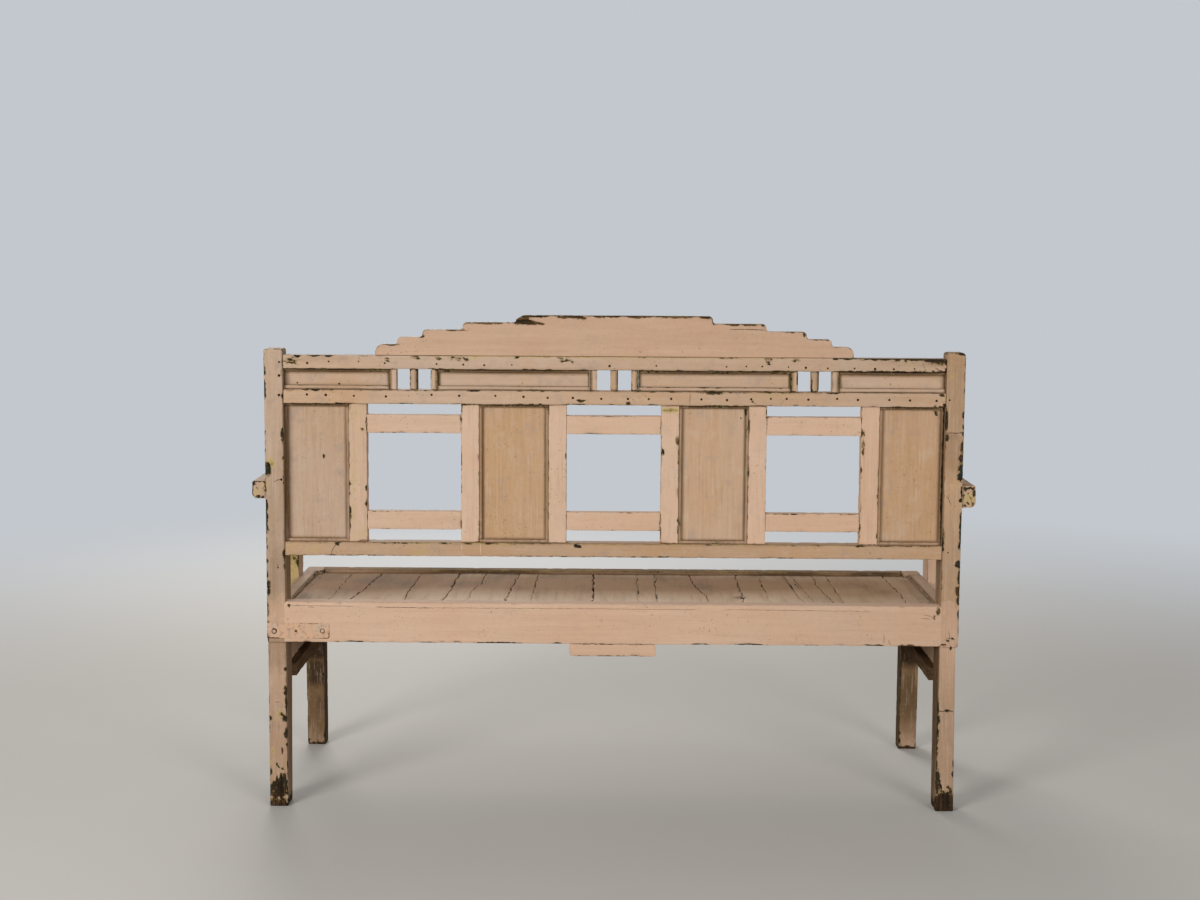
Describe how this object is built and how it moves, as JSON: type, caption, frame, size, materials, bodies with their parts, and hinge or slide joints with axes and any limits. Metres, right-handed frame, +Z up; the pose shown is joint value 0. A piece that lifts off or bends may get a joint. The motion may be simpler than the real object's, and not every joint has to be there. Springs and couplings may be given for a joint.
{
  "type": "wooden bench",
  "caption": "Painted wooden bench with four legs, a boarded seat, flat arms and a framed panel back with small windows under a stepped crest.",
  "frame": {"origin": "centre of the bench's footprint, on the floor", "axes": "+X along the bench to the right as seen from behind it, +Y from the back towards the side where a sitter's knees are, +Z up"},
  "size_m": [1.56, 0.5476, 1.08],
  "materials": {
    "paint_tan": "old pale tan paint, worn at the edges down to darker paint and bare wood",
    "paint_pink": "old pale salmon paint, worn at the edges",
    "seat_wood": "thin dull grey-tan paint with dark cracks between the boards",
    "bare_wood": "bare, dark old wood",
    "painted_iron": "flat iron plate painted over with the wood"
  },
  "bodies": {
    "root": {"rear_post_left": "paint_tan", "front_leg_left": "paint_tan", "side_rail_left": "paint_tan", "side_batten_left": "bare_wood", "arm_left": "paint_tan", "arm_support_left": "paint_tan", "rear_post_right": "paint_tan", "front_leg_right": "paint_tan", "side_rail_right": "paint_tan", "side_batten_right": "bare_wood", "arm_right": "paint_tan", "arm_support_right": "paint_tan", "top_rail": "paint_tan", "frieze_rail": "paint_tan", "lower_back_rail": "paint_tan", "crest_board": "paint_pink", "back_stile_1": "paint_pink", "back_stile_2": "paint_pink", "back_stile_3": "paint_pink", "back_stile_4": "paint_pink", "back_stile_5": "paint_pink", "back_stile_6": "paint_pink", "back_panel_1": "paint_tan", "back_panel_2": "paint_tan", "back_panel_3": "paint_tan", "back_panel_4": "paint_tan", "frieze_panel_1": "paint_tan", "frieze_panel_2": "paint_tan", "frieze_panel_3": "paint_tan", "frieze_panel_4": "paint_tan", "frieze_stile_1": "paint_tan", "frieze_stile_2": "paint_tan", "frieze_stile_3": "paint_tan", "frieze_stile_4": "paint_tan", "frieze_stile_5": "paint_tan", "frieze_stile_6": "paint_tan", "frieze_divider_1": "paint_tan", "frieze_divider_2": "paint_tan", "frieze_divider_3": "paint_tan", "window_rail_lower_1": "paint_pink", "window_rail_upper_1": "paint_pink", "window_rail_lower_2": "paint_pink", "window_rail_upper_2": "paint_pink", "window_rail_lower_3": "paint_pink", "window_rail_upper_3": "paint_pink", "rear_apron": "paint_pink", "front_apron": "paint_pink", "rear_pendant": "paint_pink", "seat_board_1": "seat_wood", "seat_board_2": "seat_wood", "seat_board_3": "seat_wood", "seat_board_4": "seat_wood", "seat_board_5": "seat_wood", "seat_board_6": "seat_wood", "seat_board_7": "seat_wood", "seat_board_8": "seat_wood", "seat_board_9": "seat_wood", "seat_ledger_rear": "bare_wood", "seat_ledger_front": "bare_wood", "mending_plate": "painted_iron"}
  },
  "joints": []
}
